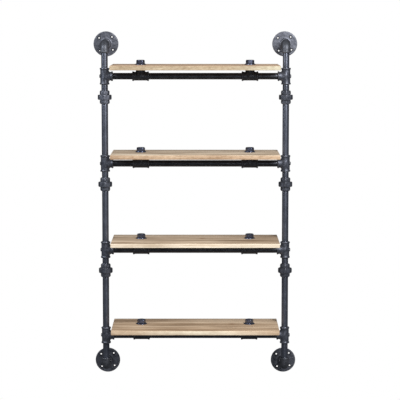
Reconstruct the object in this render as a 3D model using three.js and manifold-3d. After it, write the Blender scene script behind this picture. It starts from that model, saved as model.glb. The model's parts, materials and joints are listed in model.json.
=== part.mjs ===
// Wall-mounted shelving unit of iron pipe with four boards.
//
// Millimetres, +Z up, +X to the right seen from the front, +Y towards the wall. The origin lies on
// the wall plane, midway between the uprights, at mid-thickness of the lowest board's back edge.
import * as THREE from "three";
import { mergeVertices } from "three/addons/utils/BufferGeometryUtils.js";
import Module from "manifold-3d";

const wasm = await Module();
wasm.setup();

// Overall layout
const level_count = 4;
const level_pitch = 304;
const upright_spacing = 630;
const wall_to_upright = 103;

// Pipe
const pipe_od = 22.8;
const pipe_wall = 2.8;
const thread_engagement = 13;
const thread_gap = 0.3;
const end_nipple_length = 79;

// Tees and elbows, which all have a bead round each outlet
const fitting_reach = 28.5;
const shelf_outlet_reach = 24.2;
const fitting_body_od = 30;
const bead_od = 33.6;
const bead_length = 5.2;
const bead_slope = 1.6;
const bead_taper = 0.7;
const elbow_bend_radius = 16;

// Unions: a nut between two eight-sided ends, and a male tail that goes up into the tee
const union_length = 47;
const union_end_width = 34.6;
const union_end_rounding = 2.2;
const union_nut_width = 48.6;
const union_nut_height = 17;
const union_nut_chamfer = 1.2;
const union_tail_exposed = 21;

// Wall flanges
const flange_diameter = 88;
const flange_thickness = 5;
const flange_rim_rounding = 1.5;
const flange_height = 17;
const flange_hub_od = 33.6;
const flange_hub_rounding = 1.2;
const flange_fillet = 5;
const flange_hole_count = 4;
const flange_hole_circle = 64;
const flange_hole_diameter = 5.6;
const flange_countersink = 11.6;
const flange_hole_turn = 49;

// Boards, cut to fit between the beads of the upright tees
const board_end_clearance = 7.2;
const board_depth = 240;
const board_thickness = 15;
const board_edge_chamfer = 1;
const board_corner_radius = 2;
const board_hole_clearance = 0.6;

// Shelf bolts: a hexagonal head on a round flange, with the shank through the board
const bolt_inset = 101;
const bolt_flange_diameter = 38.5;
const bolt_flange_edge = 2.2;
const bolt_flange_rise = 2.4;
const bolt_head_width = 30;
const bolt_height = 16.8;
const bolt_engagement = 11;
const bolt_head_chamfer = 1.5;
const bolt_head_turns = [[33, 28], [22, 24], [29, 26], [29, 31]];

// Fits and facets
const seat_gap = 0.3;
const overrun = 2;
const round_sides = 12;
const flange_sides = 20;
const hole_sides = 8;
const union_sides = 8;
const bolt_head_sides = 6;
const bend_steps = 3;
const corner_steps = 2;

// Worked out from the sizes above
const pipe_radius = pipe_od / 2;
const socket_radius = pipe_radius + thread_gap;
const upright_y = -wall_to_upright;
const pipe_seat = fitting_reach - thread_engagement;
const end_reach = 2 * pipe_seat + end_nipple_length;
const board_length = upright_spacing - bead_od - 2 * board_end_clearance;
const bolt_spacing = board_length - 2 * bolt_inset;
const board_drop = shelf_outlet_reach + seat_gap + board_thickness / 2;
const levels = Array.from({ length: level_count }, (_, i) => i * level_pitch - board_drop);
const sides = [{ name: "left", sign: -1 }, { name: "right", sign: 1 }];

// Finishes
const finish = (color, roughness, metalness) => {
  return new THREE.MeshStandardMaterial({ color, roughness, metalness });
};
const pipe_iron = () => finish(0x4b4f58, 0.5, 0.75);
const cast_iron = () => finish(0x3f4249, 0.62, 0.65);
const dark_bolt = () => finish(0x26282f, 0.42, 0.7);
const oak = () => finish(0xb89a78, 0.65, 0);

const shelf_unit = new THREE.Group();

// Solids, joins and cuts

function solid(geometry) {
  const plain = geometry.clone();
  plain.deleteAttribute("normal");
  plain.deleteAttribute("uv");
  const merged = mergeVertices(plain);
  const vertProperties = new Float32Array(merged.attributes.position.array);
  const triVerts = new Uint32Array(merged.index.array);
  return new wasm.Manifold(new wasm.Mesh({ numProp: 3, vertProperties, triVerts }));
}

function geometry_of(manifold) {
  const { vertProperties, triVerts } = manifold.getMesh();
  const geometry = new THREE.BufferGeometry();
  geometry.setAttribute("position", new THREE.BufferAttribute(new Float32Array(vertProperties), 3));
  geometry.setIndex(new THREE.BufferAttribute(new Uint32Array(triVerts), 1));
  geometry.computeVertexNormals();
  return geometry;
}

const join = (pieces) => pieces.map(solid).reduce((whole, piece) => whole.add(piece));
const cut = (whole, tools) => tools.map(solid).reduce((rest, tool) => rest.subtract(tool), whole);

// Shapes turned about Z, given as [radius, z] points from the bottom up

function turned(points, count = round_sides) {
  const [bottom] = points;
  const top = points[points.length - 1];
  const closed = [[0, bottom[1]], ...points, [0, top[1]]];
  const profile = closed.map(([radius, z]) => new THREE.Vector2(radius, z));
  return new THREE.LatheGeometry(profile, count).rotateX(Math.PI / 2);
}

function turned_ring(points, count = round_sides) {
  const profile = [...points, points[0]].map(([radius, z]) => new THREE.Vector2(radius, z));
  return new THREE.LatheGeometry(profile, count).rotateX(Math.PI / 2);
}

const rod = (radius, bottom, top, count) => turned([[radius, bottom], [radius, top]], count);
const along_x = (geometry) => geometry.rotateY(Math.PI / 2);
const mirrored = (points) => points.map(([radius, z]) => [radius, -z]).reverse();

// The profile of an outlet's bead, from the body out to the mouth at z = reach
function bead_points(reach) {
  const body = fitting_body_od / 2;
  const bead = bead_od / 2;
  const shoulder = reach - bead_length;
  return [[body, shoulder - bead_slope], [bead, shoulder], [bead - bead_taper, reach]];
}

// Pieces, each in its own local frame

function pipe_geometry(length) {
  const inner = pipe_radius - pipe_wall;
  const half = length / 2;
  return turned_ring([[inner, -half], [pipe_radius, -half], [pipe_radius, half], [inner, half]]);
}

// The run lies along Z and the side outlet points along +X.
function tee_geometry(outlet_reach) {
  const ends = bead_points(fitting_reach);
  const run = turned([...mirrored(ends), ...ends]);
  const outlet = along_x(turned([[fitting_body_od / 2, 0], ...bead_points(outlet_reach)]));
  const run_bore = rod(socket_radius, -fitting_reach - overrun, fitting_reach + overrun);
  const outlet_bore = along_x(rod(socket_radius, 0, outlet_reach + overrun));
  return geometry_of(cut(join([run, outlet]), [run_bore, outlet_bore]));
}

// A closed skin over rings of points, with a fan of triangles at each end
function lofted(rings) {
  const count = rings[0].length;
  const positions = rings.flat().flatMap((point) => point.toArray());
  const index = [];
  for (let ring = 0; ring + 1 < rings.length; ring += 1) {
    for (let side = 0; side < count; side += 1) {
      const next = (side + 1) % count;
      const [a, b] = [ring * count + side, ring * count + next];
      const [c, d] = [a + count, b + count];
      index.push(a, b, d, a, d, c);
    }
  }
  const last = (rings.length - 1) * count;
  for (let side = 1; side + 1 < count; side += 1) {
    index.push(0, side + 1, side);
    index.push(last, last + side, last + side + 1);
  }
  const geometry = new THREE.BufferGeometry();
  geometry.setAttribute("position", new THREE.Float32BufferAttribute(positions, 3));
  geometry.setIndex(index);
  return geometry;
}

// A ring of points round the elbow's centre line, at a distance along it from the lower mouth
function elbow_ring(radius, distance) {
  const leg = fitting_reach - elbow_bend_radius;
  const arc = (elbow_bend_radius * Math.PI) / 2;
  const along_arc = THREE.MathUtils.clamp(distance - leg, 0, arc);
  const angle = along_arc / elbow_bend_radius;
  const before = Math.min(distance - leg, 0);
  const after = Math.max(distance - leg - arc, 0);
  const centre_y = elbow_bend_radius * (1 - Math.cos(angle)) + after;
  const centre_z = elbow_bend_radius * (Math.sin(angle) - 1) + before;
  return Array.from({ length: round_sides }, (_, side) => {
    const turn = (2 * Math.PI * side) / round_sides;
    const across = radius * Math.sin(turn);
    const inward = -radius * Math.cos(turn);
    const y = centre_y + inward * Math.cos(angle);
    const z = centre_z - inward * Math.sin(angle);
    return new THREE.Vector3(across, y, z);
  });
}

// One outlet points down to the upright and the other back to the wall.
function elbow_geometry() {
  const leg = fitting_reach - elbow_bend_radius;
  const arc = (elbow_bend_radius * Math.PI) / 2;
  const whole = 2 * leg + arc;
  const bend = (radius) => Array.from({ length: bend_steps + 1 }, (_, step) => {
    return elbow_ring(radius, leg + (arc * step) / bend_steps);
  });
  const bead_rings = bead_points(fitting_reach).reverse();
  const mouth_rings = bead_rings.map(([radius, z]) => [radius, fitting_reach - z]);
  const lower = mouth_rings.map(([radius, distance]) => elbow_ring(radius, distance));
  const upper = mouth_rings.map(([radius, distance]) => elbow_ring(radius, whole - distance)).reverse();
  const body = solid(lofted([...lower, ...bend(fitting_body_od / 2), ...upper]));
  const lower_mouth = elbow_ring(socket_radius, -overrun);
  const upper_mouth = elbow_ring(socket_radius, whole + overrun);
  const bore = lofted([lower_mouth, ...bend(socket_radius), upper_mouth]);
  return geometry_of(cut(body, [bore]));
}

// The upper and lower mouths of a union's end pieces lie at z = 0 and z = union_length.
function union_geometry() {
  const half_end = union_end_width / 2;
  const half_nut = union_nut_width / 2;
  const nut_bottom = (union_length - union_nut_height) / 2;
  const nut_top = nut_bottom + union_nut_height;
  const ends = turned([
    [half_end - union_end_rounding, 0],
    [half_end, union_end_rounding],
    [half_end, union_length - union_end_rounding],
    [half_end - union_end_rounding, union_length],
  ], union_sides);
  const nut = turned([
    [half_nut - union_nut_chamfer, nut_bottom],
    [half_nut, nut_bottom + union_nut_chamfer],
    [half_nut, nut_top - union_nut_chamfer],
    [half_nut - union_nut_chamfer, nut_top],
  ], union_sides);
  const tail_top = union_length + union_tail_exposed + thread_engagement;
  const tail = rod(pipe_radius, union_length - thread_engagement, tail_top);
  const socket = rod(socket_radius, -overrun, union_length - thread_engagement);
  const passage = rod(pipe_radius - pipe_wall, 0, tail_top + overrun);
  return geometry_of(cut(join([ends, nut, tail]), [socket, passage]));
}

// The back face lies at z = 0 and the hub stands up +Z.
function flange_geometry() {
  const rim = flange_diameter / 2;
  const hub = flange_hub_od / 2;
  const plate = turned([
    [rim, 0],
    [rim, flange_thickness - flange_rim_rounding],
    [rim - flange_rim_rounding, flange_thickness],
    [hub + flange_fillet, flange_thickness],
    [hub, flange_thickness + flange_fillet],
    [hub, flange_height - flange_hub_rounding],
    [hub - flange_hub_rounding, flange_height],
  ], flange_sides);
  const socket = rod(socket_radius, -overrun, flange_height + overrun);
  const holes = Array.from({ length: flange_hole_count }, (_, hole) => {
    const turn = THREE.MathUtils.degToRad(flange_hole_turn + (hole * 360) / flange_hole_count);
    const reach = flange_hole_circle / 2;
    return screw_hole().translate(reach * Math.cos(turn), reach * Math.sin(turn), 0);
  });
  return geometry_of(cut(solid(plate), [socket, ...holes]));
}

function screw_hole() {
  const shank = flange_hole_diameter / 2;
  const mouth = flange_countersink / 2;
  const sink = flange_thickness - (mouth - shank);
  return turned([
    [shank, -overrun],
    [shank, sink],
    [mouth, flange_thickness],
    [mouth, flange_thickness + overrun],
  ], hole_sides);
}

// The board's underside lies at z = 0 and its back edge at y = 0.
function board_geometry() {
  const half = board_length / 2 - board_edge_chamfer;
  const front = -board_depth + board_edge_chamfer;
  const back = -board_edge_chamfer;
  const corner = board_corner_radius;
  const quarter_turn = Math.PI / 2;
  const outline = new THREE.Shape();
  outline.absarc(-half + corner, front + corner, corner, -2 * quarter_turn, -quarter_turn, false);
  outline.absarc(half - corner, front + corner, corner, -quarter_turn, 0, false);
  outline.absarc(half - corner, back - corner, corner, 0, quarter_turn, false);
  outline.absarc(-half + corner, back - corner, corner, quarter_turn, 2 * quarter_turn, false);
  const slab = new THREE.ExtrudeGeometry(outline, {
    depth: board_thickness - 2 * board_edge_chamfer,
    curveSegments: corner_steps,
    bevelSize: board_edge_chamfer,
    bevelThickness: board_edge_chamfer,
    bevelSegments: 1,
  }).translate(0, 0, board_edge_chamfer);
  const hole_radius = pipe_radius + board_hole_clearance;
  const holes = sides.map(({ sign }) => {
    const hole = rod(hole_radius, -overrun, board_thickness + overrun);
    return hole.translate((sign * bolt_spacing) / 2, upright_y, 0);
  });
  return geometry_of(cut(solid(slab), holes));
}

// The flange's seat on the board lies at z = 0 and the shank goes down.
function bolt_geometry(head_turn) {
  const flange = bolt_flange_diameter / 2;
  const head = bolt_head_width / 2;
  const shank_end = -(board_thickness + 2 * seat_gap + bolt_engagement);
  const seat = turned([
    [pipe_radius, shank_end],
    [pipe_radius, 0],
    [flange, 0],
    [flange, bolt_flange_edge],
    [head, bolt_flange_edge + bolt_flange_rise],
  ]);
  const hexagon = turned([
    [head, bolt_flange_edge],
    [head, bolt_height - bolt_head_chamfer],
    [head - bolt_head_chamfer, bolt_height],
  ], bolt_head_sides).rotateZ(THREE.MathUtils.degToRad(head_turn));
  return geometry_of(join([seat, hexagon]));
}

// Placing

function place(name, geometry, material, position, rotation = [0, 0, 0]) {
  const mesh = new THREE.Mesh(geometry, material());
  mesh.name = name;
  mesh.position.set(...position);
  mesh.rotation.set(...rotation);
  shelf_unit.add(mesh);
}

const quarter = Math.PI / 2;
const upright_tee_shape = tee_geometry(fitting_reach);
const shelf_tee_shape = tee_geometry(shelf_outlet_reach);
const elbow_shape = elbow_geometry();
const union_shape = union_geometry();
const flange_shape = flange_geometry();
const board_shape = board_geometry();

// An upright's end: nipple, elbow, wall nipple and flange, above the top tee or below the lowest one
function add_upright_end(side, end, tee_z, up) {
  const x = (side.sign * upright_spacing) / 2;
  const label = `${end}_${side.name}`;
  const nipple_z = tee_z + up * (pipe_seat + end_nipple_length / 2);
  const elbow_z = tee_z + up * end_reach;
  const elbow_turn = up > 0 ? 0 : Math.PI;
  const wall_pipe_front = upright_y + pipe_seat;
  const wall_pipe_back = thread_engagement - flange_height;
  const wall_pipe = pipe_geometry(wall_pipe_back - wall_pipe_front);
  const wall_pipe_y = (wall_pipe_front + wall_pipe_back) / 2;
  place(`end_nipple_${label}`, pipe_geometry(end_nipple_length), pipe_iron, [x, upright_y, nipple_z]);
  place(`elbow_${label}`, elbow_shape, cast_iron, [x, upright_y, elbow_z], [0, elbow_turn, 0]);
  place(`wall_nipple_${label}`, wall_pipe, pipe_iron, [x, wall_pipe_y, elbow_z], [quarter, 0, 0]);
  place(`wall_flange_${label}`, flange_shape, cast_iron, [x, 0, elbow_z], [quarter, 0, 0]);
}

// One level of one upright: its tee, and the union and pipe that carry on down to the next tee
function add_upright_level(side, level) {
  const x = (side.sign * upright_spacing) / 2;
  const label = `${level + 1}_${side.name}`;
  const tee_z = levels[level];
  const tee_turn = side.sign < 0 ? 0 : Math.PI;
  place(`upright_tee_${label}`, upright_tee_shape, cast_iron, [x, upright_y, tee_z], [0, 0, tee_turn]);
  if (level === 0) return;
  const union_z = tee_z - fitting_reach - union_tail_exposed - union_length;
  const pipe_top = union_z + thread_engagement;
  const pipe_bottom = levels[level - 1] + pipe_seat;
  const upright_pipe = pipe_geometry(pipe_top - pipe_bottom);
  place(`union_${label}`, union_shape, cast_iron, [x, upright_y, union_z]);
  place(`upright_pipe_${label}`, upright_pipe, pipe_iron, [x, upright_y, (pipe_top + pipe_bottom) / 2]);
}

// One board with its cross pipe, two shelf tees and two bolts
function add_shelf(level) {
  const tee_z = levels[level];
  const board_z = tee_z + shelf_outlet_reach + seat_gap;
  const bolt_z = board_z + board_thickness + seat_gap;
  const cross_pipe = pipe_geometry(upright_spacing - 2 * pipe_seat);
  place(`cross_pipe_${level + 1}`, cross_pipe, pipe_iron, [0, upright_y, tee_z], [0, quarter, 0]);
  place(`board_${level + 1}`, board_shape, oak, [0, 0, board_z]);
  sides.forEach(({ name, sign }, index) => {
    const x = (sign * bolt_spacing) / 2;
    const label = `${level + 1}_${name}`;
    const bolt_shape = bolt_geometry(bolt_head_turns[level][index]);
    place(`shelf_tee_${label}`, shelf_tee_shape, cast_iron, [x, upright_y, tee_z], [0, -quarter, 0]);
    place(`shelf_bolt_${label}`, bolt_shape, dark_bolt, [x, upright_y, bolt_z]);
  });
}

for (const side of sides) {
  add_upright_end(side, "top", levels[level_count - 1], 1);
  add_upright_end(side, "bottom", levels[0], -1);
  levels.forEach((_, level) => add_upright_level(side, level));
}
levels.forEach((_, level) => add_shelf(level));

export default shelf_unit;
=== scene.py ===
# %% [markdown]
# # A wall shelf of iron pipe, dressed in Blender
#
# The real object is plumbing turned into furniture. Two uprights of half-inch black pipe stand off
# the wall on four flanges, four cross pipes tie them together, and a wooden board lies on two tees
# of each cross pipe, held by a large flanged bolt. The solid model of all that is already packed.
#
# This lesson builds the looks round it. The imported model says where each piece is, and a finer
# mesh in the same place says how it looks.

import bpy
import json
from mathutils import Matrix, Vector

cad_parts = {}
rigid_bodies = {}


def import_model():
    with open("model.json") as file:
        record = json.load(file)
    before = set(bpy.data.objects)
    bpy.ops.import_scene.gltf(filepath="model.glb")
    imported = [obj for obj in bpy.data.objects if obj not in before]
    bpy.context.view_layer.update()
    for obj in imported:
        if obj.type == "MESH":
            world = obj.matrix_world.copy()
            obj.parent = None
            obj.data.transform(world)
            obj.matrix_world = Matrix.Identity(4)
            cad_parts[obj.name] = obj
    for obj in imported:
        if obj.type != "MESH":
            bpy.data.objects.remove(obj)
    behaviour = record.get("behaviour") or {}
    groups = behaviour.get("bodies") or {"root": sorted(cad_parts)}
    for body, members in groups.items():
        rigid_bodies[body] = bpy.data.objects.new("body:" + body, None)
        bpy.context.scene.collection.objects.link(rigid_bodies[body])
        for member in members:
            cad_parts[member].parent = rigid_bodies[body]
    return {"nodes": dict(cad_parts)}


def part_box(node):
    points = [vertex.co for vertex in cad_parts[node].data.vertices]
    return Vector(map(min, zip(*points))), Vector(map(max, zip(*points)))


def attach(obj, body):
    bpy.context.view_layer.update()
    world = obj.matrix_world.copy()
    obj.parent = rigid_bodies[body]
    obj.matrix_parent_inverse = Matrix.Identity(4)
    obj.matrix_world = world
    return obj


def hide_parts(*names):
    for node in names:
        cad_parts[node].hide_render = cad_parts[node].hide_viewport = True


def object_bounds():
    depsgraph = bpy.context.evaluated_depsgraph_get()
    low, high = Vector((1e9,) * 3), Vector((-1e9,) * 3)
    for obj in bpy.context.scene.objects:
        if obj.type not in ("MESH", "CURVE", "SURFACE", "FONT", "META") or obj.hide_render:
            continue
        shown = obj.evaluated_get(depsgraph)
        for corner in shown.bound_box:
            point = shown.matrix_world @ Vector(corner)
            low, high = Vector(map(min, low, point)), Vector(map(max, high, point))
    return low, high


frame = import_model()
cad_low, cad_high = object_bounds()
print("packed pieces:", len(frame["nodes"]))
print("box in metres:", [round(high - low, 4) for low, high in zip(cad_low, cad_high)])

# %% [markdown]
# ## The camera
#
# The photograph was taken from straight in front, at the height of the unit's top, with a long lens
# from nearly six metres. A long lens keeps the uprights almost parallel, and the height is why the
# top of every board shows. A camera could be placed by eye, but this one was fitted to known
# points, such as the centres of the tees and flanges.

# %% Place the camera
import math

import bpy

MM = 0.001
camera_place = (0.0164, -5.9176, 1.0944)
downward_tilt = 6.35
focal_length = 150.39

scene = bpy.context.scene
lens = bpy.data.cameras.new("shelf_camera")
lens.sensor_width = 36
lens.lens = focal_length
camera = bpy.data.objects.new("shelf_camera", lens)
camera.location = camera_place
camera.rotation_euler = (math.radians(90 - downward_tilt), 0, 0)
scene.collection.objects.link(camera)
scene.camera = camera
print("camera", round(-camera.location.y, 2), "m in front of the wall")

# %% [markdown]
# ## A white studio
#
# Catalogue photographs of dark ironwork are lit by big soft boxes, so that each round pipe carries
# a long soft highlight. The same wide streak a little right of the middle shows on both uprights,
# so the main box stood to the right of the camera, and the iron gets darker downwards, so it stood
# high. The boards throw the cross pipes beneath them into shadow, which is why those look black.
#
# A side box gives the left flank of each pipe a cooler edge, and two small boxes make the bright
# points on the bolts. Pale boards need more light than dark metal can stand, so a top box and a low
# box are hidden from reflections: they light the matte wood and hardly touch the iron. Strengths
# guessed one by one never agree, so each light was rendered alone and the sum fitted to the photo.
#
# The world is white where the camera sees it and dim as a light, or it would wash out the iron.

# %% Light the studio
from mathutils import Matrix, Vector

upper = (0, -0.1, 0.85)


def tuned(made, **values):
    """A node with some of its input sockets set by name."""
    for label, value in values.items():
        made.inputs[label.replace("_", " ")].default_value = value
    return made


def node(tree, kind, **values):
    """A new node, tuned the same way."""
    return tuned(tree.nodes.new(kind), **values)


scene.view_settings.view_transform = "Standard"
studio = bpy.data.worlds.new("white_studio")
studio.use_nodes = True
scene.world = studio
air = studio.node_tree
air.nodes.clear()
seen = node(air, "ShaderNodeLightPath")
shown = node(air, "ShaderNodeBackground", Color=(1, 1, 1, 1), Strength=1.0)
ambient = node(air, "ShaderNodeBackground", Color=(0.93, 0.96, 1.0, 1), Strength=0.11)
either = node(air, "ShaderNodeMixShader")
sky = node(air, "ShaderNodeOutputWorld")
air.links.new(seen.outputs["Is Camera Ray"], either.inputs["Fac"])
air.links.new(ambient.outputs["Background"], either.inputs[1])
air.links.new(shown.outputs["Background"], either.inputs[2])
air.links.new(either.outputs["Shader"], sky.inputs["Surface"])


def soft_box(name, place, aim, size, watts, tint):
    """A rectangular lamp behind diffusing cloth, turned to face a point of the shelf."""
    lamp = bpy.data.lights.new(name, "AREA")
    lamp.shape = "RECTANGLE"
    lamp.size, lamp.size_y = size
    lamp.energy = watts
    lamp.color = tint
    stand = bpy.data.objects.new(name, lamp)
    stand.location = place
    facing = Vector(aim) - Vector(place)
    stand.rotation_euler = facing.to_track_quat("-Z", "Y").to_euler()
    scene.collection.objects.link(stand)
    return stand


soft_box("key_box", (1.2, -2.6, 1.85), upper, (0.55, 1.2), 67, (1.0, 0.985, 0.965))
soft_box("side_box", (-2.2, -1.3, 1.75), upper, (0.8, 1.4), 27, (0.93, 0.965, 1.0))
soft_box("left_glint", (-1.5, -2.2, 2.4), upper, (0.3, 0.3), 16, (1.0, 1.0, 1.0))
soft_box("right_glint", (1.1, -2.1, 2.5), upper, (0.3, 0.3), 17, (1.0, 1.0, 1.0))
soft_box("front_box", (0.4, -3.4, 0.4), (0, -0.1, 0.45), (0.5, 1.4), 3.5, (0.96, 0.98, 1.0))
top_box = soft_box("top_box", (-0.2, -2.1, 2.7), (0, -0.1, 0.6), (1.8, 1.0), 48, (1.0, 1.0, 1.0))
low_box = soft_box("low_box", (0.3, -3.0, 0.2), (0, -0.1, 0.1), (2.2, 0.8), 42, (1.0, 0.99, 0.97))
for matte_box in (top_box, low_box):
    matte_box.visible_glossy = False

# %% [markdown]
# ## The floor
#
# The unit hangs on a wall, so the floor lies below it and just under the picture's lower edge. It
# is a sheet of backdrop paper with its rear edge turned up a little, not a bare plane. The light
# that it would bounce back is left out, so the iron's undersides stay as dark as in the photograph.

# %% Roll out the floor
import bmesh


def new_mesh(name, points, faces):
    """A mesh from plain lists, with its faces turned outward."""
    mesh = bpy.data.meshes.new(name)
    mesh.from_pydata([tuple(point) for point in points], [], faces)
    work = bmesh.new()
    work.from_mesh(mesh)
    bmesh.ops.remove_doubles(work, verts=work.verts, dist=1e-6)
    bmesh.ops.recalc_face_normals(work, faces=work.faces)
    work.to_mesh(mesh)
    work.free()
    return mesh


def hang(name, mesh, finish):
    """An object of that mesh and finish, linked into the scene."""
    piece = bpy.data.objects.new(name, mesh)
    mesh.materials.clear()
    mesh.materials.append(finish)
    scene.collection.objects.link(piece)
    return piece


def new_finish(name):
    """A fresh node material: itself, its node tree and its Principled shader."""
    finish = bpy.data.materials.new(name)
    finish.use_nodes = True
    tree = finish.node_tree
    return finish, tree, tree.nodes["Principled BSDF"]


paper, paper_tree, paper_shader = new_finish("backdrop_paper")
tuned(paper_shader, Roughness=0.85)
mottle = node(paper_tree, "ShaderNodeTexNoise", Scale=3)
tone = node(paper_tree, "ShaderNodeValToRGB")
tone.color_ramp.elements[0].color = (0.80, 0.80, 0.79, 1)
tone.color_ramp.elements[1].color = (0.86, 0.86, 0.855, 1)
paper_tree.links.new(mottle.outputs["Fac"], tone.inputs["Fac"])
paper_tree.links.new(tone.outputs["Color"], paper_shader.inputs["Base Color"])

floor_z = cad_low.z - 0.3
half_floor = 2.4
floor_front, floor_back = -3.2, 0.30
turn_up = [(floor_front, 0.0), (floor_back - 0.1, 0.0), (floor_back, 0.004)]
strips = [(x, y, floor_z + up) for y, up in turn_up for x in (-half_floor, half_floor)]
floor_mesh = new_mesh("studio_floor", strips, [(0, 1, 3, 2), (2, 3, 5, 4)])
floor = hang("studio_floor", floor_mesh, paper)
floor.visible_diffuse = False
floor.visible_glossy = False
print("floor", round(floor_z, 3), "m")

# %% [markdown]
# ## Turning and lofting
#
# Most of this shelf was made on a lathe or drawn through a die, so most meshes are rings of points
# joined by a skin. A round ring gives a lathed part, and a ring with flats gives a nut. A `Screw`
# modifier could lathe a profile too, but it can't turn a circle into an octagon halfway up, which
# a union's ends and nut need.
#
# Edges above an angle are marked sharp, so smooth shading stays off them.

# %% Rings and skins
def smooth(mesh, edge_degrees):
    """Soft shading over curves, with real corners kept crisp."""
    mesh.shade_smooth()
    mesh.set_sharp_from_angle(angle=math.radians(edge_degrees))
    return mesh


def skin(name, rings, looped=False):
    """A closed mesh over rings of equally many points: looped joins the last ring to the first."""
    count = len(rings[0])
    points = [point for ring in rings for point in ring]
    spans = len(rings) if looped else len(rings) - 1
    faces = []
    for ring in range(spans):
        here, there = ring * count, ((ring + 1) % len(rings)) * count
        for side in range(count):
            following = (side + 1) % count
            faces.append((here + side, here + following, there + following, there + side))
    if not looped:
        last = (len(rings) - 1) * count
        faces.append(tuple(reversed(range(count))))
        faces.append(tuple(last + side for side in range(count)))
    return new_mesh(name, points, faces)


def in_metres(pairs):
    """Pairs of millimetres as metres."""
    return [(one * MM, other * MM) for one, other in pairs]


def circle(radius, height, sides):
    """One level ring of points about Z."""
    turns = (2 * math.pi * side / sides for side in range(sides))
    return [Vector((radius * math.cos(turn), radius * math.sin(turn), height)) for turn in turns]


def stacked(profile, sides):
    """Level rings from (radius, height) pairs."""
    return [circle(radius, height, sides) for radius, height in profile]


def turned(name, profile, sides=48, looped=False):
    """A lathed mesh from (radius, height) pairs."""
    return skin(name, stacked(profile, sides), looped)


def lay_along(mesh, direction):
    """Turns a mesh made along +Z so that it lies along another direction."""
    turn = Vector((0, 0, 1)).rotation_difference(Vector(direction))
    mesh.transform(turn.to_matrix().to_4x4())
    return mesh


def shift(mesh, place):
    """Moves a mesh's own points to a place in the frame."""
    mesh.transform(Matrix.Translation(place))
    return mesh


def middle_of(node_name):
    """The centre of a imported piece's box."""
    low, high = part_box(node_name)
    return (low + high) / 2


def fit(mesh, finish, slot, *nodes):
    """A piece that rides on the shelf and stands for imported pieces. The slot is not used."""
    piece = hang(mesh.name, mesh, finish)
    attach(piece, "root")
    if nodes:
        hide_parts(*nodes)


def tally(word):
    """Says how many of the new pieces have a word in their names."""
    names = {piece.name for piece in scene.objects} - set(frame["nodes"])
    print(word, "pieces", sum(word in name for name in names))

# %% [markdown]
# ## Gunmetal pipe
#
# Black pipe is rolled steel with a dark scale on it. On furniture it is rubbed down and lacquered
# in a blue-grey gunmetal, so it has a soft sheen and faint marks that run along the pipe. A plain
# metal shader would look like chrome or plastic. Here one noise is stretched along the pipe for
# the drawn marks, a fine even one roughens the sheen as scale does, and a broad one clouds the
# tone. Texture positions are the frame's own metres, so each pipe has its own marks.
#
# The cross pipes get the same lacquer in darker tones as painted shade: in the boards' shadow
# they look near black.

# %% Mix the pipe lacquer
scale_depth = 0.000009
drawn_depth = 0.000012


def noise(tree, place, scale, detail=4.0, roughness=0.55):
    """A noise of so many waves per metre."""
    made = node(tree, "ShaderNodeTexNoise", Scale=scale, Detail=detail, Roughness=roughness)
    tree.links.new(place, made.inputs["Vector"])
    return made.outputs["Fac"]


def stretched(tree, place, shares, moved=(0, 0, 0)):
    """Positions scaled by axis, which draws a texture out along the smallest share, then moved."""
    made = node(tree, "ShaderNodeMapping", Scale=shares, Location=moved)
    tree.links.new(place, made.inputs["Vector"])
    return made.outputs["Vector"]


def ramp(tree, source, stops):
    """Colours along a value: (where, colour) pairs."""
    made = node(tree, "ShaderNodeValToRGB")
    bar = made.color_ramp
    while len(bar.elements) < len(stops):
        bar.elements.new(0.5)
    for element, (where, colour) in zip(bar.elements, stops):
        element.position = where
        element.color = (*colour, 1)
    tree.links.new(source, made.inputs["Fac"])
    return made.outputs["Color"]


def blended(tree, share, first, second, mode="MIX"):
    """Two colours mixed by a share, which is a number or a socket."""
    made = node(tree, "ShaderNodeMix")
    made.data_type = "RGBA"
    made.blend_type = mode
    for source, socket in ((share, 0), (first, 6), (second, 7)):
        if hasattr(source, "links"):
            tree.links.new(source, made.inputs[socket])
        else:
            made.inputs[socket].default_value = source
    return made.outputs[2]


def between(tree, source, low, high, start=0.0, end=1.0):
    """A value moved from one range to another."""
    limits = {"From_Min": start, "From_Max": end, "To_Min": low, "To_Max": high}
    made = node(tree, "ShaderNodeMapRange", **limits)
    tree.links.new(source, made.inputs["Value"])
    return made.outputs["Result"]


def raised(tree, shader, height, depth, under=None):
    """A bump of so many metres on the shader, over another bump if there is one."""
    made = node(tree, "ShaderNodeBump", Strength=1.0, Distance=depth)
    tree.links.new(height, made.inputs["Height"])
    if under is not None:
        tree.links.new(under, made.inputs["Normal"])
    tree.links.new(made.outputs["Normal"], shader.inputs["Normal"])
    return made.outputs["Normal"]


def object_place(tree):
    """Positions in metres of the piece's own mesh."""
    return node(tree, "ShaderNodeTexCoord").outputs["Object"]


def pipe_lacquer(name, drawn, dark, light):
    """Gunmetal lacquer with marks drawn out along one axis, given as shares of X, Y and Z."""
    finish, tree, shader = new_finish(name)
    place = object_place(tree)
    drawn_marks = noise(tree, stretched(tree, place, drawn), 420, 3, 0.6)
    scale_marks = noise(tree, place, 900, 5, 0.6)
    clouds = noise(tree, place, 38, 3, 0.5)
    body = ramp(tree, clouds, [(0.3, dark), (0.72, light)])
    worn = ramp(tree, drawn_marks, [(0.36, (0.72, 0.72, 0.73)), (0.66, (1.2, 1.2, 1.2))])
    tone = blended(tree, 0.5, body, worn, "MULTIPLY")
    tree.links.new(tone, shader.inputs["Base Color"])
    tree.links.new(between(tree, scale_marks, 0.28, 0.40, 0.3, 0.7), shader.inputs["Roughness"])
    tuned(shader, Metallic=0.85)
    grain = raised(tree, shader, scale_marks, scale_depth)
    raised(tree, shader, drawn_marks, drawn_depth, grain)
    return finish


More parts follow.
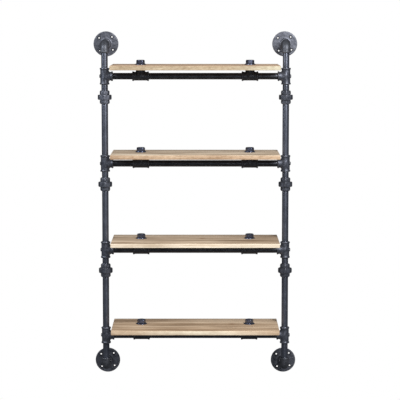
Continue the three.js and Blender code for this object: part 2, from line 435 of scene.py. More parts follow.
along = 0.03
gunmetal = (0.101, 0.112, 0.144), (0.141, 0.156, 0.199)
# painted shade: darker tones of the same gunmetal for the cross pipes under the boards
shaded_gunmetal = (0.040, 0.043, 0.053), (0.071, 0.076, 0.092)
upright_lacquer = pipe_lacquer("gunmetal_upright", (1, 1, along), *gunmetal)
cross_lacquer_painted_shade = pipe_lacquer("gunmetal_cross", (along, 1, 1), *shaded_gunmetal)
wall_lacquer = pipe_lacquer("gunmetal_wall", (1, along, 1), *gunmetal)
print("pipe finishes", upright_lacquer.name, cross_lacquer_painted_shade.name, wall_lacquer.name)

# %% [markdown]
# ## Cast iron
#
# Tees, elbows, unions and flanges are poured into sand moulds. The sand leaves a pebbled skin that
# even lacquer doesn't hide, with darker hollows and lighter high spots where handling has rubbed
# it. A fine noise and a coarser one make the pebbles as bump, and the coarser one blotches the tone
# too. The rubbed spots follow pointiness, which Blender measures from the mesh itself, so that the
# beads' rims wear and the hollows don't.
#
# One recipe serves four finishes. The tees and unions are the smoothest, the elbows and flanges
# are duller. The elbows get a little darker tones as painted shade, and the shelf tees are dark as
# painted shade, because they hang in the boards' shadow. In a flange's countersinks the iron is
# painted almost black, a painted shade in the hollows. No noise knows where those are, so the
# flange's mesh will carry a share of that painted shade on each point, and this material reads it.

# %% Mix the cast iron
bare_iron = (0.21, 0.22, 0.245, 1)
# painted shade: a near black colour that darkens the flanges' countersinks
countersink_painted_shade = (0.008, 0.009, 0.012, 1)
rubbed_edges = (0.51, 0.60)
most_rubbed = 0.55
pebble_depth = 0.00006
blotch_depth = 0.00018


def sand_cast(name, dark, light, gloss, pooled=False):
    """Lacquered cast iron between two tones, with a range of roughness."""
    finish, tree, shader = new_finish(name)
    place = object_place(tree)
    blotches = noise(tree, place, 120, 5, 0.62)
    pebbles = noise(tree, place, 520, 4, 0.6)
    body = ramp(tree, blotches, [(0.34, dark), (0.66, light)])
    edge = node(tree, "ShaderNodeNewGeometry").outputs["Pointiness"]
    rubbed = between(tree, edge, 0.0, 1.0, *rubbed_edges)
    tone = blended(tree, between(tree, rubbed, 0.0, most_rubbed), body, bare_iron)
    # painted shade: points marked in the countersinks darken the tone almost to black
    if pooled:
        depth = node(tree, "ShaderNodeAttribute")
        depth.attribute_name = "pooled"
        tone = blended(tree, depth.outputs["Fac"], tone, countersink_painted_shade)
    tree.links.new(tone, shader.inputs["Base Color"])
    tree.links.new(between(tree, blotches, *gloss, 0.3, 0.7), shader.inputs["Roughness"])
    tuned(shader, Metallic=0.75)
    sand = raised(tree, shader, pebbles, pebble_depth)
    raised(tree, shader, blotches, blotch_depth, sand)
    return finish


fitting_iron = sand_cast(
    "cast_fitting", (0.064, 0.070, 0.089), (0.136, 0.147, 0.184), (0.30, 0.46))
# painted shade: the elbows get darker tones than the other fittings for their dimmer look
elbow_iron_painted_shade = sand_cast(
    "cast_elbow", (0.062, 0.067, 0.080), (0.120, 0.128, 0.150), (0.42, 0.56))
# painted shade on the shelf tees, which hang in the boards' shadow; on the locking screws this dark
# iron is their own colour
dark_iron_and_painted_shade = sand_cast(
    "cast_shelf_fitting", (0.030, 0.033, 0.040), (0.066, 0.070, 0.084), (0.34, 0.5))
flange_iron = sand_cast(
    "cast_flange", (0.072, 0.077, 0.096), (0.152, 0.162, 0.196), (0.40, 0.54), pooled=True)
for iron in (fitting_iron, elbow_iron_painted_shade, dark_iron_and_painted_shade, flange_iron):
    print("cast finish", iron.name)

# %% [markdown]
# ## Bolts
#
# The bolts are nearly black, a little bluer than the rest, and the glossiest iron here: two bright
# points on every flange show it. A dark plastic look would lose the facets of the heads, so it is
# blued metal under a thin clear film of oil. The film is only half there, because a full coat would
# mirror the brown boards.

# %% Mix the bolt black
bolt_black, bolt_tree, bolt_shader = new_finish("bolt_black")
bolt_place = object_place(bolt_tree)
bolt_marks = noise(bolt_tree, bolt_place, 260, 4, 0.6)
bolt_stops = [(0.3, (0.068, 0.083, 0.136)), (0.7, (0.116, 0.138, 0.216))]
bolt_tone = ramp(bolt_tree, bolt_marks, bolt_stops)
bolt_tree.links.new(bolt_tone, bolt_shader.inputs["Base Color"])
bolt_gloss = between(bolt_tree, bolt_marks, 0.22, 0.32, 0.3, 0.7)
bolt_tree.links.new(bolt_gloss, bolt_shader.inputs["Roughness"])
tuned(bolt_shader, Metallic=0.92, Coat_Weight=0.5, Coat_Roughness=0.1)
bolt_mark_depth = 0.00006
raised(bolt_tree, bolt_shader, bolt_marks, bolt_mark_depth)
print("bolt finish", bolt_black.name)

# %% [markdown]
# ## Pipes
#
# Each pipe is a plain tube whose ends go into fittings. A taper thread always leaves its last turn
# or two in sight beside the fitting, and that is what tells real pipe from a dowel. The thread is
# cut here as geometry: near each end the rings lie close together, and each point's radius follows
# a helix that fades out. A bump map could hint at it, but its outline would stay straight.

# %% Make the pipes
pipe_radius = 11.4 * MM
pipe_bore = 8.6 * MM
thread_engagement = 13 * MM
thread_pitch = 1.8 * MM
thread_depth = 0.55 * MM
thread_shown = 4.5 * MM
thread_fade = 0.8 * thread_shown
thread_hidden = 1.2 * MM
thread_runout = 1.4 * MM
thread_rings = 15
pipe_sides = 40


def thread_cut(height, turn, length):
    """How far the thread cuts below the pipe's surface at a height and a turn round the pipe."""
    from_end = length / 2 - abs(height)
    left = (thread_engagement + thread_shown - from_end) / thread_fade
    fade = max(0.0, min(1.0, left))
    phase = (height / thread_pitch + turn / (2 * math.pi)) % 1.0
    return thread_depth * fade * abs(2 * phase - 1)


def pipe_heights(length):
    """Ring heights: close together where a thread shows, and wide apart along the plain pipe."""
    start = -length / 2
    first = start + thread_engagement - thread_hidden
    reach = thread_shown + thread_runout
    cut = [first + step * reach / thread_rings for step in range(thread_rings + 1)]
    half = [start, *cut]
    return half + [-height for height in reversed(half)]


def pipe_mesh(name, length):
    """A tube about Z with run-out threads at both ends."""
    rings = []
    for height in pipe_heights(length):
        ring = circle(pipe_radius, height, pipe_sides)
        for side, point in enumerate(ring):
            turn = 2 * math.pi * side / pipe_sides
            share = 1 - thread_cut(height, turn, length) / pipe_radius
            point.x, point.y = point.x * share, point.y * share
        rings.append(ring)
    inner = [circle(pipe_bore, height, pipe_sides) for height in (length / 2, -length / 2)]
    return smooth(skin(name, rings + inner, looped=True), 50)


def lay_pipe(node_name, lacquer):
    """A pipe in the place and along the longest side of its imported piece."""
    low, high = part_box(node_name)
    extent = high - low
    length = max(extent)
    direction = [1 if side == length else 0 for side in extent]
    mesh = lay_along(pipe_mesh(node_name + "_tube", length), direction)
    fit(shift(mesh, (low + high) / 2), lacquer, "iron_pipe", node_name)


pipe_finishes = {
    "end_nipple": upright_lacquer,
    "upright_pipe": upright_lacquer,
    "wall_nipple": wall_lacquer,
    "cross_pipe": cross_lacquer_painted_shade,
}
for stem, lacquer in pipe_finishes.items():
    for node_name in sorted(frame["nodes"]):
        if node_name.startswith(stem):
            lay_pipe(node_name, lacquer)
tally("tube")

# %% [markdown]
# ## Cast skins
#
# A tee is where two tubes flow into each other with a soft round valley, and an elbow's bead rolls
# into its bend. Boolean joins leave a hard crease there. So each casting is described as a distance
# field instead: for any point, how far is it from the iron? Tubes and beads are short formulas, a
# soft minimum melts them together like poured metal, and a soft maximum bores the sockets out.
#
# The mesh is then drawn over the field by surface nets: one point in every small cube that the
# surface passes through, joined to its neighbours, and pulled exactly onto the surface.

# %% Draw a mesh over a distance field
import numpy as np

gentlest_slope = 0.2
settling_rounds = 6


def soft_min(first, second, round_off):
    """The smaller of two distances, with a fillet of that size where they meet."""
    share = np.clip(0.5 + 0.5 * (second - first) / round_off, 0, 1)
    return second + (first - second) * share - round_off * share * (1 - share)


def soft_max(first, second, round_off):
    """The larger of two distances, with a rounded edge of that size."""
    return -soft_min(-first, -second, round_off)


def slopes(field, points, reach):
    """The field's gradient at each point."""
    changes = [field(points + step) - field(points - step) for step in np.eye(3) * reach]
    return np.stack(changes, 1) / (2 * reach)


def settle(field, points, reach):
    """Pulls points onto the surface of the field, along its slope."""
    for _ in range(settling_rounds):
        slope = slopes(field, points, reach)
        steepness = np.maximum((slope**2).sum(1, keepdims=True), gentlest_slope)
        pull = field(points)[:, None] * slope / steepness
        points = points - np.clip(pull, -4 * reach, 4 * reach)
    return points


def surface_net(name, field, low, high, step):
    """A quad mesh over the surface where the field is zero, inside a box."""
    counts = [int(math.ceil((b - a) / step)) + 1 for a, b in zip(low, high)]
    axes = [a + step * np.arange(count) for a, count in zip(low, counts)]
    grid = np.stack(np.meshgrid(*axes, indexing="ij"), -1)
    inside = field(grid.reshape(-1, 3)).reshape(counts) < 0
    cell = tuple(count - 1 for count in counts)
    corners = [inside[i:i + cell[0], j:j + cell[1], k:k + cell[2]]
               for i in (0, 1) for j in (0, 1) for k in (0, 1)]
    filled = sum(corner.astype(int) for corner in corners)
    crossed = (filled > 0) & (filled < 8)
    number = np.full(cell, -1)
    number[crossed] = np.arange(crossed.sum())
    points = settle(field, grid[:-1, :-1, :-1][crossed] + step / 2, step / 8)
    faces = []
    for axis in range(3):
        one, two = [other for other in range(3) if other != axis]
        ahead = np.roll(inside, -1, axis)
        changes = inside != ahead
        changes[tuple(-1 if a == axis else slice(None) for a in range(3))] = False
        for spot in np.argwhere(changes):
            around = []
            for back_one, back_two in ((0, 0), (1, 0), (1, 1), (0, 1)):
                corner = spot.copy()
                corner[one] -= back_one
                corner[two] -= back_two
                around.append(int(number[tuple(corner)]))
            faces.append(around)
    mesh = new_mesh(name, points, faces)
    print(name, "points", len(mesh.vertices), "faces", len(mesh.polygons))
    return mesh

# %% [markdown]
# ## Tees
#
# A malleable iron tee has a raised bead round each of its three mouths, to keep it from splitting
# when a taper thread is driven in. On the uprights the side outlet takes the cross pipe. On the
# cross pipes the outlet looks up, stops just under the board and takes the bolt through it.

# %% Cast the tees
body_radius = 15 * MM
bead_radius = 16.8 * MM
bead_half = 2.6 * MM
bead_round = 1.7 * MM
bead_blend = 2.0 * MM
valley = 5.5 * MM
socket_radius = 11.7 * MM
mouth_bevel = 1.0 * MM
tube_inset = 0.2 * MM
lip_round = 0.6 * MM
fitting_reach = 28.5 * MM
shelf_outlet_reach = 24.2 * MM
net_step = 1.35 * MM
net_margin = 2.5 * MM


def arm(off_axis, along_axis, reach):
    """Distance to one arm of a fitting: a plain tube with a rounded bead at its mouth."""
    tube = soft_max(off_axis - body_radius, along_axis - (reach - tube_inset), lip_round)
    across = off_axis - (bead_radius - bead_round)
    beside = np.abs(along_axis - (reach - bead_half)) - (bead_half - bead_round)
    outside = np.hypot(np.maximum(across, 0), np.maximum(beside, 0))
    bead = outside + np.minimum(np.maximum(across, beside), 0) - bead_round
    return soft_min(tube, bead, bead_blend)


def bore(off_axis, along_axis, reach):
    """Distance to the empty socket of one arm, which opens out a little at the mouth."""
    return off_axis - socket_radius - np.maximum(along_axis - (reach - mouth_bevel), 0)


def tee_field(outlet_reach):
    """The tee's distance field: its run lies along Z and its outlet points along +X."""
    def distance(points):
        x, y, z = points.T
        off_run, off_outlet = np.hypot(x, y), np.hypot(y, z)
        run = arm(off_run, np.abs(z), fitting_reach)
        outlet = np.maximum(arm(off_outlet, x, outlet_reach), -x)
        iron = soft_min(run, outlet, valley)
        hollow = np.minimum(
            bore(off_run, np.abs(z), fitting_reach),
            np.maximum(bore(off_outlet, x, outlet_reach), -x),
        )
        return soft_max(iron, -hollow, lip_round)
    return distance


def cast_tee(name, outlet_reach):
    """The mesh of a tee about its own centre."""
    side = bead_radius + net_margin
    tall = fitting_reach + net_margin
    low, high = (-side, -side, -tall), (outlet_reach + net_margin, side, tall)
    return smooth(surface_net(name, tee_field(outlet_reach), low, high, net_step), 60)


def turned_copy(mesh, name, turn):
    """A copy of a mesh, turned about the origin."""
    copy = mesh.copy()
    copy.name = name
    copy.transform(turn)
    return copy


upright_tee = cast_tee("upright_tee_shape", fitting_reach)
shelf_tee = cast_tee("shelf_tee_shape", shelf_outlet_reach)
upright_x = abs(middle_of("end_nipple_top_left").x)
half_turn = Matrix.Rotation(math.pi, 4, "Z")
outlet_up = Matrix.Rotation(-math.pi / 2, 4, "Y")
levels = (1, 2, 3, 4)
sides = {"left": -1, "right": 1}


def both_ends(chosen):
    """Label, level and sign along X of the left and right end of each chosen level."""
    return [(f"{level}_{side_name}", level, sign)
            for level in chosen for side_name, sign in sides.items()]


for label, level, sign in both_ends(levels):
    spot = middle_of("upright_tee_" + label)
    spot.x = sign * upright_x
    facing = Matrix.Identity(4) if sign < 0 else half_turn
    mesh = shift(turned_copy(upright_tee, "beaded_upright_tee_" + label, facing), spot)
    fit(mesh, fitting_iron, "cast_fitting", "upright_tee_" + label)
    spot = middle_of("shelf_tee_" + label)
    spot.z = middle_of(f"cross_pipe_{level}").z
    mesh = shift(turned_copy(shelf_tee, "beaded_shelf_tee_" + label, outlet_up), spot)
    # painted shade: the shelf tees take the darker iron
    fit(mesh, dark_iron_and_painted_shade, "cast_fitting", "shelf_tee_" + label)
tally("tee")

# %% [markdown]
# ## Elbows
#
# An elbow carries each end of an upright back to the wall. Its two arms are the same beaded tubes
# as a tee's, and between them the body follows a quarter of a ring.

# %% Cast the elbows
bend_radius = 16 * MM


def elbow_distance(points):
    """One arm points down and the other back along +Y, round a quarter bend."""
    x, y, z = points.T
    off_down, off_back = np.hypot(x, y), np.hypot(x, z)
    centre_off = np.hypot(y - bend_radius, z + bend_radius) - bend_radius
    off_bend = np.hypot(x, centre_off)
    beyond_bend = np.maximum(y - bend_radius, -z - bend_radius)
    bend = np.maximum(off_bend - body_radius, beyond_bend)
    down = np.maximum(arm(off_down, -z, fitting_reach), z + bend_radius)
    back = np.maximum(arm(off_back, y, fitting_reach), bend_radius - y)
    iron = np.minimum(bend, soft_min(down, back, valley))
    hollow = np.minimum(
        np.maximum(off_bend - socket_radius, beyond_bend),
        np.minimum(
            np.maximum(bore(off_down, -z, fitting_reach), z + bend_radius),
            np.maximum(bore(off_back, y, fitting_reach), bend_radius - y),
        ),
    )
    return soft_max(iron, -hollow, lip_round)


wide = bead_radius + net_margin
far = fitting_reach + net_margin
elbow_low, elbow_high = (-wide, -wide, -far), (wide, far, wide)
elbow_net = surface_net("elbow_shape", elbow_distance, elbow_low, elbow_high, net_step)
elbow = smooth(elbow_net, 60)
upright, upside_down = Matrix.Identity(4), Matrix.Rotation(math.pi, 4, "Y")
for end, flip in {"top": upright, "bottom": upside_down}.items():
    for side_name, sign in sides.items():
        label = f"{end}_{side_name}"
        nipple_low, nipple_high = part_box("end_nipple_" + label)
        wall_pipe = middle_of("wall_nipple_" + label)
        spot = Vector((sign * upright_x, (nipple_low.y + nipple_high.y) / 2, wall_pipe.z))
        mesh = shift(turned_copy(elbow, "beaded_elbow_" + label, flip), spot)
        fit(mesh, elbow_iron_painted_shade, "cast_fitting", "elbow_" + label)
tally("elbow")

# %% [markdown]
# ## Unions
#
# A union joins two pipes that can't be turned any more, so each upright has three of them. It is
# two eight-sided ends and a broad eight-sided nut that draws them together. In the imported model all
# of it is one solid with the short nipple above. Here the ends, the nut and the nipple are pieces
# of their own. Each corner is turned off by a cone, as on every machined nut, which leaves the
# curved arcs where flat and cone meet: a point's radius is the smaller of the two.

# %% Turn the unions
nut_samples = 96


def flat_sided(flats, corner, turn):
    """Radius of a regular many-sided bar at a turn, with corner its largest radius."""
    step = 2 * math.pi / flats
    from_middle = (turn % step) - step / 2
    return corner * math.cos(step / 2) / math.cos(from_middle)


def machined_ring(flats, corner, limit, height, turned_by=0.0):
    """A ring of a many-sided bar, cut back to a round limit."""
    ring = circle(1, height, nut_samples)
    for side, point in enumerate(ring):
        turn = 2 * math.pi * side / nut_samples
        radius = min(flat_sided(flats, corner, turn - turned_by), limit)
        point.x, point.y = point.x * radius, point.y * radius
    return ring


def machined(name, flats, corner, cuts, hole):
    """A many-sided piece from (height, round limit) pairs, with a hole through it."""
    outer = [machined_ring(flats, corner, limit, height) for height, limit in cuts]
    bottom, top = cuts[0][0], cuts[-1][0]
    inner = [circle(hole, height, nut_samples) for height in (top, bottom)]
    return smooth(skin(name, outer + inner, looped=True), 25)


union_length = 47 * MM
nut_low, nut_high = 15 * MM, 32 * MM
nut_gap = 0.15 * MM
nut_over_end = 1.0 * MM
end_corner = 17.15 * MM
nut_corner = 24.2 * MM
lower_end = in_metres([
    (0, 13.95), (0.5, 14.85), (1.4, 15.75), (2.6, 16.55), (3.8, 17.15), (12.6, 17.15), (13.4, 16.2),
])
lower_end.append((nut_low - nut_gap, 15.6 * MM))
upper_end = [(union_length - height, limit) for height, limit in reversed(lower_end)]
nut_chamfer = in_metres([(0, 22.1), (0.5, 23.0), (1.5, 23.8), (3.0, 24.3)])
nut = [(nut_low + inset, limit) for inset, limit in nut_chamfer]
nut += [(nut_high - inset, limit) for inset, limit in reversed(nut_chamfer)]
nipple_length = 47 * MM
nipple_from_mouth = 57.5 * MM

for label, _, sign in both_ends(levels[1:]):
    node_name = "union_" + label
    low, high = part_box(node_name)
    foot = Vector((sign * upright_x, (low.y + high.y) / 2, low.z))
    parts = {
        "_lower_end": machined("end", 8, end_corner, lower_end, socket_radius),
        "_nut": machined("nut", 8, nut_corner, nut, end_corner - nut_over_end),
        "_upper_end": machined("end", 8, end_corner, upper_end, socket_radius),
    }
    for ending, mesh in parts.items():
        mesh.name = node_name + ending
        fit(shift(mesh, foot), fitting_iron, "cast_fitting", node_name)
    nipple = pipe_mesh(node_name + "_nipple", nipple_length)
    shift(nipple, foot + Vector((0, 0, nipple_from_mouth)))
    fit(nipple, upright_lacquer, "iron_pipe", node_name)
tally("union")

# %% [markdown]
# ## Wall flanges
#
# A floor flange is a cast disc with a threaded hub and four countersunk screw holes, through which
# the white wall shows. Its face isn't flat like a turned part's, because the sand leaves it gently
# uneven. So the rings across the face are close together, and a smooth noise lifts each point a
# little. An applied Boolean modifier then cuts the holes, and the points inside the countersinks
# are marked for a painted shade.

# %% Cast the flanges
from mathutils import noise as soft_noise

flange_sides = 96
plate = 5 * MM
hole_circle = 32 * MM
hole_turns = [math.radians(49) + quarter * math.pi / 2 for quarter in range(4)]
screw_hole = in_metres([(2.8, -2), (2.8, 1.6), (5.2, 4.4), (5.8, 5.2), (5.8, 7)])
face_rows = 12
rim = [(43.4, 0), (44, 0.6), (44, 3.3), (43.7, 4.2), (43.1, 4.8), (42.2, 5)]
fillet = [(22.2, 5), (20.2, 5.3), (18.4, 6.2), (17.3, 7.8), (16.85, 9.8)]
hub = [(16.8, 12), (16.8, 15.7), (16.45, 16.5), (15.7, 17), (12.8, 17), (11.7, 16)]
face_edge, face_end = rim[-1][0], fillet[0][0]
face = [(face_edge + (face_end - face_edge) * row / face_rows, 5) for row in range(1, face_rows)]
flange_section = in_metres([(11.7, 0), *rim, *face, *fillet, *hub])
painted_shade_reach = 5.5 * MM
painted_shade_share = 0.85
unevenness = 0.28 * MM
lump_size = 9 * MM


def uneven(mesh, seed):
    """Lifts the points of the front face by a smooth noise."""
    for point in mesh.vertices:
        if point.co.z > 0.9 * plate:
            here = point.co / lump_size + Vector((seed * 7.3, 0, 0))
            point.co.z += unevenness * (soft_noise.noise(here) - 0.5)
    return mesh


def cut_with(mesh, cutters, finish):
    """The mesh less each cutter, by an applied Boolean."""
    body = hang("work_body", mesh, finish)
    for number, cutter in enumerate(cutters):
        tool = hang(f"work_cutter_{number}", cutter, finish)
        cut = body.modifiers.new("cut", "BOOLEAN")
        cut.operation, cut.solver, cut.object = "DIFFERENCE", "EXACT", tool
    applied = body.evaluated_get(bpy.context.evaluated_depsgraph_get())
    result = bpy.data.meshes.new_from_object(applied)
    for used in [work for work in scene.objects if work.name.startswith("work_")]:
        bpy.data.objects.remove(used)
    return result


def hole_centre(turn):
    """A point of the hole circle."""
    return Vector((hole_circle * math.cos(turn), hole_circle * math.sin(turn), 0))


def screw_cutter(turn):
    """A countersunk hole's own shape, standing on the hole circle."""
    return shift(turned("hole", screw_hole, 32), hole_centre(turn))


def mark_painted_shade(mesh):
    """A share of painted shade on each point: full inside the countersinks."""
    shade_shares = mesh.attributes.new("pooled", "FLOAT", "POINT")
    for point in mesh.vertices:
        nearest = min((point.co - hole_centre(turn)).xy.length for turn in hole_turns)
        # painted shade: the share is set on points inside the countersinks
        shade_shares.data[point.index].value = painted_shade_share if nearest < painted_shade_reach else 0.0
    return mesh


to_front = Matrix.Rotation(math.pi / 2, 4, "X")
corners = [(end, side_name) for end in ("top", "bottom") for side_name in sides]
for number, (end, side_name) in enumerate(corners):
    node_name = f"wall_flange_{end}_{side_name}"
    low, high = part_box(node_name)
    disc = uneven(turned("disc", flange_section, flange_sides, looped=True), number)
    mesh = cut_with(disc, [screw_cutter(turn) for turn in hole_turns], flange_iron)
    mesh.name = "cast_" + node_name
    mark_painted_shade(mesh).transform(to_front)
    shift(mesh, ((low.x + high.x) / 2, high.y, (low.z + high.z) / 2))
    fit(smooth(mesh, 32), flange_iron, "cast_fitting", node_name)
print("points in one flange", len(mesh.vertices))
tally("flange")

# %% [markdown]
# ## Bolts through the boards
#
# The bolt's hexagonal head stands on a round flange as wide as a large washer, which slopes up to
# it. Each head stopped at its own angle when it was tightened, so they catch the light differently.

# %% Make the bolts
head_turns = {
    "1_left": 33, "1_right": 28, "2_left": 22, "2_right": 24,
    "3_left": 29, "3_right": 26, "4_left": 29, "4_right": 31,
}
facing_front = -90
head_corner = 14.95 * MM
shank_radius, shank_chamfer, shank_end = 11.4, 1.1, -26.6
shank_tip = [(shank_radius - shank_chamfer, shank_end), (shank_radius, shank_end + shank_chamfer)]
bolt_flange = [
    (18.7, 0.0), (19.1, 0.3), (19.25, 0.9), (19.2, 1.7), (18.9, 2.3),
    (18.1, 2.8), (17.2, 3.3), (16.3, 3.8), (15.5, 4.3), (15.05, 4.6),
]
round_part = in_metres([*shank_tip, (shank_radius, 0), *bolt_flange])
bolt_head = in_metres([
    (15, 4.65), (15, 5.6), (15, 13.4), (14.6, 14.6), (13.9, 15.5), (13.1, 16.2), (12.2, 16.75),
])


def bolt_mesh(name, turn):
    """A bolt about Z, with its flange's seat at zero and its shank below."""
    rings = stacked(round_part, nut_samples)
    rings += [machined_ring(6, head_corner, limit, height, turn) for limit, height in bolt_head]
    return smooth(skin(name, rings), 28)


for label, turn in head_turns.items():
    node_name = "shelf_bolt_" + label
    low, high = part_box(node_name)
    centre = (low + high) / 2
    mesh = bolt_mesh("flanged_bolt_" + label, math.radians(facing_front + turn))
    shift(mesh, (centre.x, centre.y, low.z - shank_end * MM))
    fit(mesh, bolt_black, "shelf_bolt", node_name)
tally("bolt")

# %% [markdown]
# ## Locking screws
#
# A small dark button stands out from the outer side of each upright tee. It is a button-head screw
# that locks the cross pipe's tee once the unit hangs straight, with a socket for a hexagon key.

# %% Drive the locking screws
button = in_metres([(6.4, -1.4), (6.4, 0.8), (6.1, 1.7), (5.4, 2.5), (4.4, 3.0), (3.6, 3.2)])
key_socket = in_metres([(3.1, 3.1), (3.0, 1.5), (1.6, 1.2)])
button_sunk = 0.1 * MM


def screw_mesh(name):
    """A button head about Z with a hexagon socket."""
    rings = stacked(button, nut_samples)
    rings += [machined_ring(6, corner, math.inf, height) for corner, height in key_socket]
    return smooth(skin(name, rings), 30)


for label, _, sign in both_ends(levels):
    seat = middle_of("upright_tee_" + label)
    seat.x = sign * (upright_x + body_radius - button_sunk)
    mesh = lay_along(screw_mesh("locking_screw_" + label), (sign, 0, 0))
    fit(shift(mesh, seat), dark_iron_and_painted_shade, "shelf_bolt")
tally("screw")

# %% [markdown]
# ## Wood
#
# The boards are sawn from light, knotty wood. Grain isn't a picture on a surface. It is what a flat
# cut shows of a tree's rings, so it is made here as a solid: nested cylinders round a far-off heart
# that runs along the board, bent a little by noise. Each face, edge and end then shows its own
# true cut: lines along the top, finer lines along the front edge, and arcs on the ends. Every board
# gets a heart of its own, because no two boards of a batch come from the same place in a tree.
#
# The faces and the edges get two sets of tones, which each board tints. They hold the wood's own
# colour and also painted light: how bright a board's top and its front show. How much the surface
# looks up or down mixes them.

# %% Grow the wood
rings_per_metre = 30
heart_shares = (0.07, 1, 1)
streak_share = 0.75


def growth_rings(tree, place, heart):
    """Rings round a tree's heart along X, as a value that climbs through each year and drops."""
    made = node(tree, "ShaderNodeTexWave", Scale=rings_per_metre, Distortion=2.6,
                Detail=3, Detail_Scale=0.55)
    made.wave_type, made.rings_direction, made.wave_profile = "RINGS", "X", "SAW"
    tree.links.new(stretched(tree, place, heart_shares, -heart), made.inputs["Vector"])
    return made.outputs["Fac"]


def cut_tone(tree, rings, streaks, tones):
    """Colour of one kind of cut, from its dark, middle and light tones."""
    dark, mid, light = tones
    from_rings = ramp(tree, rings, [(0.05, light), (0.62, mid), (0.97, dark)])
    from_streaks = ramp(tree, streaks, [(0.38, dark), (0.5, mid), (0.62, light)])
    return blended(tree, streak_share, from_rings, from_streaks)


def tinted(tones, tint):
    """Tones multiplied by a tint, channel by channel."""
    return [tuple(level * share for level, share in zip(tone, tint)) for tone in tones]


def component(tree, source, axis):
    """The X, Y or Z of a vector."""
    made = node(tree, "ShaderNodeSeparateXYZ")
    tree.links.new(source, made.inputs["Vector"])
    return made.outputs[axis]


def unsigned(tree, source):
    """A value without its sign."""
    made = node(tree, "ShaderNodeMath")
    made.operation = "ABSOLUTE"
    tree.links.new(source, made.inputs[0])
    return made.outputs[0]


def face_share(tree):
    """A share that is full where the surface looks up or down, and nothing on the edges."""
    normal = node(tree, "ShaderNodeNewGeometry").outputs["Normal"]
    return between(tree, unsigned(tree, component(tree, normal, "Z")), 0.0, 1.0, 0.35, 0.85)

# %% [markdown]
# ## Marks in the wood
#
# A cell pattern could scatter knots, but never where these boards have theirs. There are only a
# few knots and brown streaks, so each is placed one by one: a soft ellipsoid with a middle, measured
# from the board's centre, and a reach along each axis. Pale sapwood is a stretch along X that only
# the edges show.

# %% Place the marks
sapwood_tint = (1.44, 1.68, 1.86, 1)
streak_tint = (0.70, 0.64, 0.58, 1)
knot_brown = (0.22, 0.12, 0.065, 1)
darkest_knot = 0.75
top_skin = 7.5 * MM


def near_sapwood(tree, place, middle, reach):
    """A share that is full at one place along X and fades to nothing at its reach."""
    across = between(tree, component(tree, place, "X"), -1.0, 1.0, middle - reach, middle + reach)
    return between(tree, unsigned(tree, across), 1.0, 0.0)


def near_mark(tree, place, middle, reach):
    """A share that is full in the middle of a knot or streak and nothing at its reach."""
    shares = [1 / way for way in reach]
    moved = [-at * share for at, share in zip(middle, shares)]
    away = node(tree, "ShaderNodeVectorMath")
    away.operation = "LENGTH"
    tree.links.new(stretched(tree, place, shares, moved), away.inputs[0])
    return between(tree, away.outputs["Value"], 1.0, 0.0)


# face and edge tints: each board's own wood tone, and painted light in how bright its top and its
# front show
woods = {
    1: {
        "heart": (0.03, -0.10),
        "face_tint": (1.26, 1.285, 1.255),
        "edge_tint": (0.592, 0.583, 0.58),
        "edge_flecks": 0.45,
        "sapwood": (0.01, 0.27),
        "knots": [((0.128, 0.012, top_skin), (0.018, 0.022, 0.02))],
        "streaks": [
            ((0.0, -0.097, top_skin), (0.50, 0.024, 0.02)),
            ((0.02, 0.014, top_skin), (0.42, 0.02, 0.02)),
            ((-0.208, -0.14, 0.0), (0.07, 0.04, 0.04)),
        ],
    },
    2: {
        "heart": (-0.16, -0.07),
        "face_tint": (1.14, 1.19, 1.20),
        "edge_tint": (0.86, 0.98, 1.12),
        "edge_flecks": 0.3,
        "knots": [((0.025, 0.02, top_skin), (0.016, 0.024, 0.02))],
        "streaks": [
            ((-0.25, -0.091, top_skin), (0.07, 0.022, 0.02)),
            ((0.2, -0.05, top_skin), (0.15, 0.04, 0.02)),
        ],
    },
    3: {
        "heart": (0.10, 0.09),
        "face_tint": (1.27, 1.41, 1.50),
        "edge_tint": (0.515, 0.475, 0.448),
        "edge_flecks": 0.9,
        "knots": [((-0.214, -0.12, 0.0), (0.006, 0.01, 0.004))],
    },
    4: {
        "heart": (-0.05, -0.13),
        "face_tint": (1.24, 1.215, 1.175),
        "edge_tint": (0.52, 0.554, 0.554),
        "edge_flecks": 0.9,
        "sapwood": (0.30, 0.19),
        "streaks": [((0.012, -0.14, 0.0), (0.13, 0.04, 0.04))],
    },
}
print("knots", sum(len(wood.get("knots", [])) for wood in woods.values()))

# %% [markdown]
# ## The wood's finish
#
# Over the rings lie noises drawn out along the board: long streaks, fine fibres, short flecks and
# broad weathered patches. The fibres and rings also stand up a little as bump, so a low light
# catches the grain.

# %% Mix the wood
fibre_shares = (10, 620, 620)
streak_shares = (2.6, 44, 50)
patch_shares = (6, 11, 11)
fleck_shares = (70, 170, 210)
face_tones = ((0.20, 0.132, 0.084), (0.35, 0.248, 0.170), (0.50, 0.385, 0.285))
edge_tones = ((0.50, 0.35, 0.22), (0.66, 0.50, 0.35), (0.80, 0.64, 0.46))
plain = (1.0, 1.0, 1.0)
fibre_stops = [(0.30, (0.74, 0.70, 0.66)), (0.52, plain), (0.75, (1.1, 1.1, 1.1))]
fleck_stops = [(0.38, (0.78, 0.74, 0.70)), (0.52, plain), (0.66, (1.08, 1.09, 1.10))]
weather_stops = [(0.36, (0.86, 0.84, 0.82)), (0.64, (1.12, 1.13, 1.14))]
fibre_strength = 0.75
face_flecks = 0.2
pore_depth = 0.00012
ring_depth = 0.00005


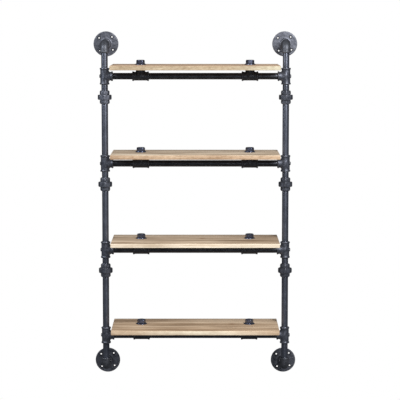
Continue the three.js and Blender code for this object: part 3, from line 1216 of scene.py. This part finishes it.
def knotty_wood(name, centre, wood):
    """Wood for one board, from its centre and its row in the table of woods."""
    finish, tree, shader = new_finish(name)
    place = object_place(tree)
    rings = growth_rings(tree, place, centre + Vector((0, *wood["heart"])))
    fibres = noise(tree, stretched(tree, place, fibre_shares), 1.0, 5, 0.65)
    streaks = noise(tree, stretched(tree, place, streak_shares), 1.0, 5, 0.62)
    patches = noise(tree, stretched(tree, place, patch_shares), 1.0, 3, 0.5)
    flecks = noise(tree, stretched(tree, place, fleck_shares), 1.0, 4, 0.6)
    on_face = face_share(tree)
    # the edge and face tints carry the wood's tone and painted light
    edge = cut_tone(tree, rings, streaks, tinted(edge_tones, wood["edge_tint"]))
    if "sapwood" in wood:
        paler = blended(tree, 1.0, edge, sapwood_tint, "MULTIPLY")
        edge = blended(tree, near_sapwood(tree, place, *wood["sapwood"]), edge, paler)
    face = cut_tone(tree, rings, streaks, tinted(face_tones, wood["face_tint"]))
    body = blended(tree, on_face, edge, face)
    body = blended(tree, fibre_strength, body, ramp(tree, fibres, fibre_stops), "MULTIPLY")
    flecked = between(tree, on_face, wood["edge_flecks"], face_flecks)
    body = blended(tree, flecked, body, ramp(tree, flecks, fleck_stops), "MULTIPLY")
    body = blended(tree, 1.0, body, ramp(tree, patches, weather_stops), "MULTIPLY")
    for spot, reach in wood.get("streaks", []):
        near = near_mark(tree, place, centre + Vector(spot), reach)
        body = blended(tree, near, body, streak_tint, "MULTIPLY")
    for spot, reach in wood.get("knots", []):
        near = near_mark(tree, place, centre + Vector(spot), reach)
        body = blended(tree, between(tree, near, 0.0, darkest_knot), body, knot_brown)
    tree.links.new(body, shader.inputs["Base Color"])
    tree.links.new(between(tree, fibres, 0.48, 0.66, 0.3, 0.7), shader.inputs["Roughness"])
    tuned(shader, Specular_IOR_Level=0.3)
    pores = raised(tree, shader, fibres, pore_depth)
    raised(tree, shader, rings, ring_depth, pores)
    return finish

# %% [markdown]
# ## Boards
#
# Each board's edges are eased by hand, so none is perfectly straight. The mesh is a row of rounded
# sections along the board, and each corner of a section is rounded by its own small amount. Two
# holes are then drilled for the bolts.

# %% Saw the boards
easing = 1.5 * MM
hand_wobble = 0.35 * MM
end_cuts = [(0, 1.1), (0.25, 0.5), (0.7, 0.12), (1.3, 0)]
stations = 34
corner_steps = 4
drill_radius, drill_reach = 12 * MM, 20 * MM


def eased_section(x, half_depth, half_thick, cut, seed):
    """A rounded section of the plank at x, each corner eased by its own amount."""
    ring = []
    corners = [(-1, -1, 180), (1, -1, 270), (1, 1, 0), (-1, 1, 90)]
    for number, (front, up, start) in enumerate(corners):
        eased = easing + hand_wobble * soft_noise.noise(Vector((x * 22, number * 9.1, seed * 5.7)))
        for step in range(corner_steps + 1):
            turn = math.radians(start + 90 * step / corner_steps)
            y = front * (half_depth - cut - eased) + eased * math.cos(turn)
            z = up * (half_thick - cut - eased) + eased * math.sin(turn)
            ring.append(Vector((x, y, z)))
    return ring


def plank(name, length, depth, thick, seed):
    """A plank about its own centre, along X."""
    near_end = [(inset * MM - length / 2, cut * MM) for inset, cut in end_cuts]
    first = near_end[-1][0]
    step = 2 * abs(first) / stations
    between_ends = [(first + step * number, 0) for number in range(1, stations)]
    far_end = [(-x, cut) for x, cut in reversed(near_end)]
    rings = [
        eased_section(x, depth / 2, thick / 2, cut, seed)
        for x, cut in near_end + between_ends + far_end
    ]
    return skin(name, rings)


for level in levels:
    node_name = f"board_{level}"
    low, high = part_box(node_name)
    centre, extent = (low + high) / 2, high - low
    finish = knotty_wood(f"knotty_wood_{level}", centre, woods[level])
    board = plank("plank", *extent, level)
    drills = []
    for side_name in sides:
        bolt = middle_of(f"shelf_bolt_{level}_{side_name}")
        drill = turned("drill", [(drill_radius, -drill_reach), (drill_radius, drill_reach)])
        drills.append(shift(drill, (bolt.x - centre.x, bolt.y - centre.y, 0)))
    mesh = cut_with(board, drills, finish)
    mesh.name = f"sawn_board_{level}"
    shift(mesh, centre)
    fit(smooth(mesh, 30), finish, "oak_board", node_name)
print("a board in metres:", [round(side, 3) for side in extent])
tally("board")

# %% [markdown]
# ## The last cell
#
# This cell only imports json.

# %% Import json
import json
